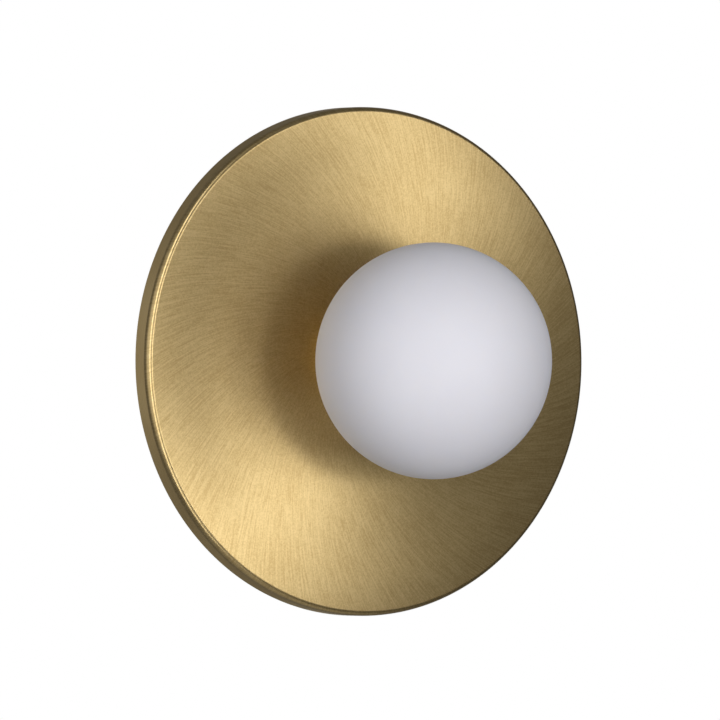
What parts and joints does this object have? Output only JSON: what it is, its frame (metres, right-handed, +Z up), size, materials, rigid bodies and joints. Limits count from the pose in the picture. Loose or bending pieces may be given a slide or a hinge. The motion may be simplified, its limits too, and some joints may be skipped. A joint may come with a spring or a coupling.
{
  "type": "wall sconce",
  "caption": "Wall sconce: a shallow round brushed-brass pan on a wall bracket, with an opal glass globe that screws into a gallery close in front of it.",
  "frame": {"origin": "midway between the two wall slots, on the wall bracket's back face, which lies on the wall", "axes": "+Z up, +Y into the wall, -Y out into the room, +X to the right of someone who faces it"},
  "size_m": [0.26, 0.137, 0.26],
  "materials": {
    "satin_brass": "satin, swirl-brushed and lacquered",
    "opal_glass": "satin-etched opal",
    "zinc_steel": "zinc plated",
    "nickel_contact": "nickel plated",
    "terminal_brass": "bright turned",
    "steatite": "glazed ceramic",
    "silicone": "matte",
    "polyamide": "moulded",
    "lamp_diffuser": "frosted",
    "lamp_substrate": "matte",
    "fibre_sleeve": "woven glass fibre",
    "brown_lead": "silicone insulation",
    "blue_lead": "silicone insulation",
    "earth_lead": "silicone insulation, green with a yellow stripe",
    "tinned_copper": "tinned"
  },
  "bodies": {
    "root": {"brass_pan": "satin_brass", "globe_gallery": "satin_brass", "wall_bracket": "zinc_steel", "side_screws": "zinc_steel", "side_nuts": "zinc_steel", "threaded_nipple": "zinc_steel", "rear_locknut": "zinc_steel", "front_locknut": "zinc_steel", "star_washer": "zinc_steel", "nipple_tag": "tinned_copper", "earth_tags": "tinned_copper", "earth_screw": "zinc_steel", "earth_washer": "zinc_steel", "lampholder_stand": "zinc_steel", "lampholder": "steatite", "holder_screws": "zinc_steel", "lampholder_contacts": "nickel_contact", "terminal_block": "polyamide", "terminal_inserts": "terminal_brass", "terminal_screws": "zinc_steel", "block_screws": "zinc_steel", "lead_ferrules": "tinned_copper", "lead_sleeve": "fibre_sleeve", "live_lead": "brown_lead", "neutral_lead": "blue_lead", "bracket_earth_lead": "earth_lead", "pan_earth_lead": "earth_lead"},
    "seal": {"seal_ring": "silicone"},
    "globe": {"glass_globe": "opal_glass"},
    "lamp": {"lamp_pins": "nickel_contact", "lamp_base": "steatite", "lamp_cover": "lamp_diffuser", "lamp_board": "lamp_substrate"}
  },
  "joints": [
    {"name": "globe_turn", "type": "hinge", "parent": "root", "child": "seal", "pos_m": [0, -0.0165, 0], "axis": [0, -1, 0], "range_deg": [0, 450]},
    {"name": "globe_travel", "type": "slide", "parent": "seal", "child": "globe", "axis": [0, -1, 0], "range_m": [0, 0.005]},
    {"name": "lamp_pull", "type": "slide", "parent": "root", "child": "lamp", "axis": [0, -1, 0], "range_m": [0, 0.014]}
  ],
  "couplings": [
    {"joint": "globe_travel", "follows": "globe_turn", "m_per_rad": 0.0006366}
  ]
}
